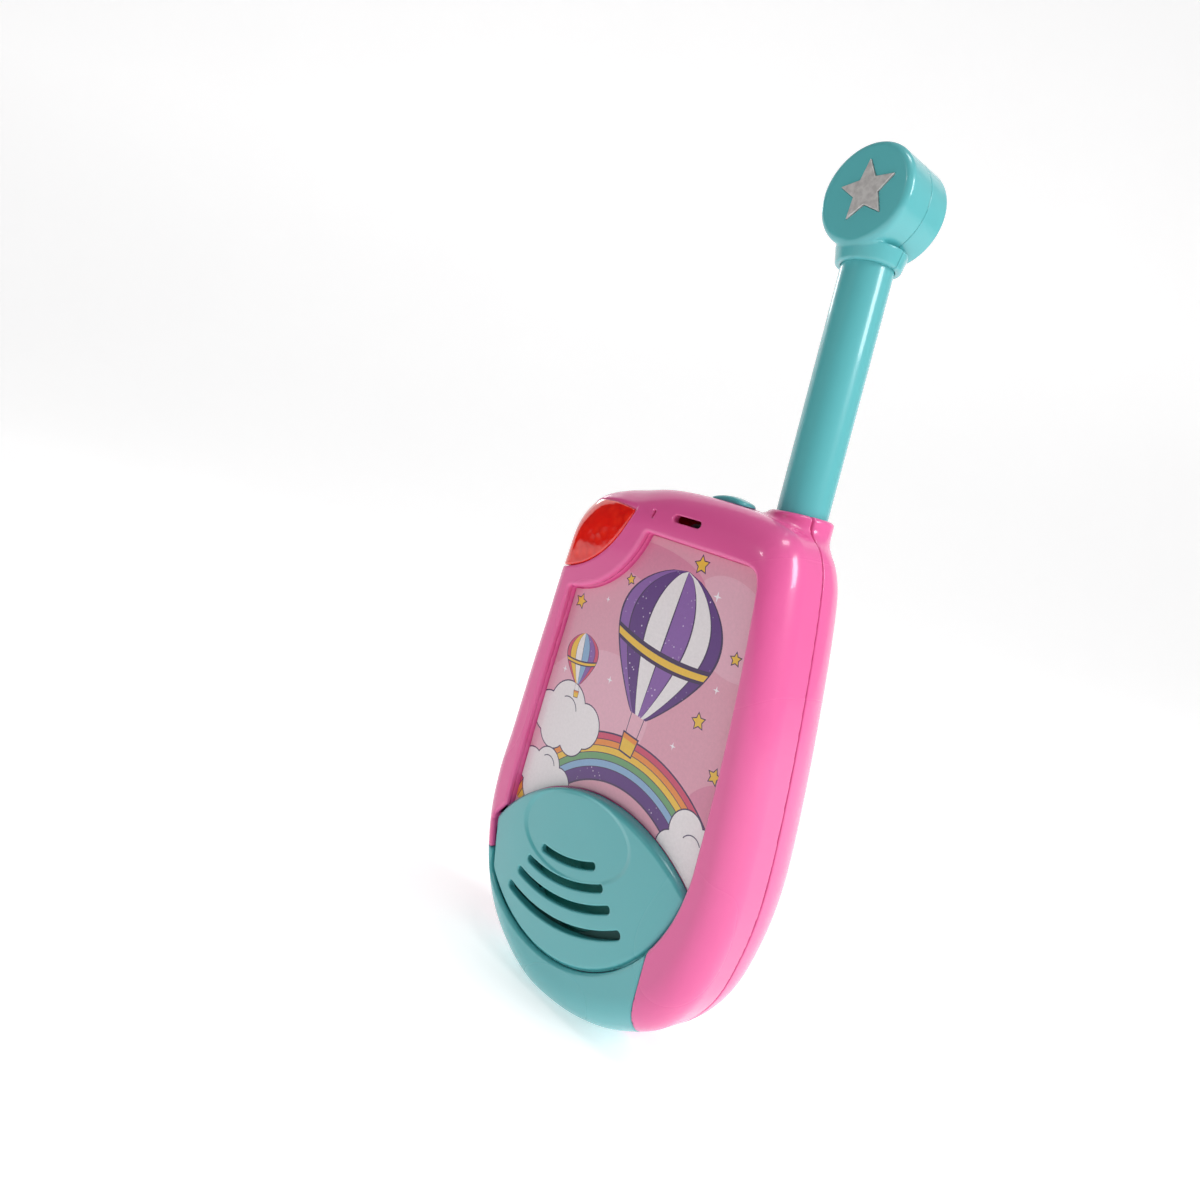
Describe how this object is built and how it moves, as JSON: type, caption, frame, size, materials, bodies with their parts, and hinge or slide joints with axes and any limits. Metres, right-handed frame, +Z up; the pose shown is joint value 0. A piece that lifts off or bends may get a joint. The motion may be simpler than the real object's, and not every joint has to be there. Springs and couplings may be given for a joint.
{
  "type": "toy walkie talkie",
  "caption": "Hand-held toy walkie talkie: rounded two-part body, recessed picture, slotted speaker cover, corner lamp, tube antenna with a round head, side talk button, belt clip.",
  "frame": {"origin": "middle of the flat foot on which it stands", "axes": "+X to the viewer's right when the picture side is seen, picture side faces -Y, +Z up along the antenna"},
  "size_m": [0.0802, 0.0348, 0.197],
  "materials": {
    "pink_shell": "glossy moulded plastic",
    "teal_plastic": "glossy moulded plastic",
    "red_lens": "clear coloured plastic, glossy",
    "white_plastic": "glossy",
    "printed_label": "printed card under a clear film",
    "silver_foil": "silvery foil",
    "black_plastic": "matte",
    "board_laminate": "satin lacquer",
    "plated_steel": "nickel plated",
    "copper_wire": "bare copper",
    "ferrite": "dull grey",
    "black_paper": "matte pressed paper",
    "cell_wrap": "shrink wrap",
    "wire_sleeve": "soft sleeve"
  },
  "bodies": {
    "walkie_body": {"front_shell": "pink_shell", "rear_shell": "pink_shell", "bottom_trim": "teal_plastic", "speaker_cover": "teal_plastic", "light_lens": "red_lens", "light_reflector": "white_plastic", "light_led": "red_lens", "picture_label": "printed_label", "antenna_tube": "teal_plastic", "antenna_head": "teal_plastic", "antenna_head_rear": "teal_plastic", "star_inlay": "silver_foil", "power_switch": "plated_steel", "talk_switch": "black_plastic", "circuit_board": "board_laminate", "radio_chips": "black_plastic", "crystal_can": "plated_steel", "tuning_coils": "copper_wire", "microphone": "plated_steel", "speaker_frame": "plated_steel", "speaker_magnet": "ferrite", "speaker_cone": "black_paper", "battery_cells": "cell_wrap", "contact_plates": "plated_steel", "contact_springs": "plated_steel", "clip_pin": "plated_steel", "shell_screws": "plated_steel", "board_screws": "plated_steel", "speaker_wires": "wire_sleeve", "battery_wires": "wire_sleeve", "aerial_wire": "copper_wire"},
    "talk_button": {"talk_button": "teal_plastic"},
    "power_slider": {"power_slider": "teal_plastic", "switch_nub": "black_plastic"},
    "belt_clip": {"belt_clip": "teal_plastic", "clip_spring": "plated_steel"},
    "battery_door": {"battery_door": "pink_shell", "door_screws": "plated_steel"}
  },
  "joints": [
    {"name": "talk_press", "type": "slide", "parent": "walkie_body", "child": "talk_button", "axis": [1, 0, 0], "range_m": [0, 0.0015], "stiffness_N_per_m": 800, "springref_m": -0.0005},
    {"name": "power_slide", "type": "slide", "parent": "walkie_body", "child": "power_slider", "axis": [-1, 0, 0], "range_m": [0, 0.004]},
    {"name": "clip_swing", "type": "hinge", "parent": "walkie_body", "child": "belt_clip", "pos_m": [0, 0.0168, 0.102], "axis": [1, 0, 0], "range_deg": [0, 14], "stiffness_Nm_per_rad": 0.3, "springref_deg": -11.46},
    {"name": "door_lift", "type": "slide", "parent": "walkie_body", "child": "battery_door", "axis": [0, 1, 0], "range_m": [0, 0.015]}
  ]
}
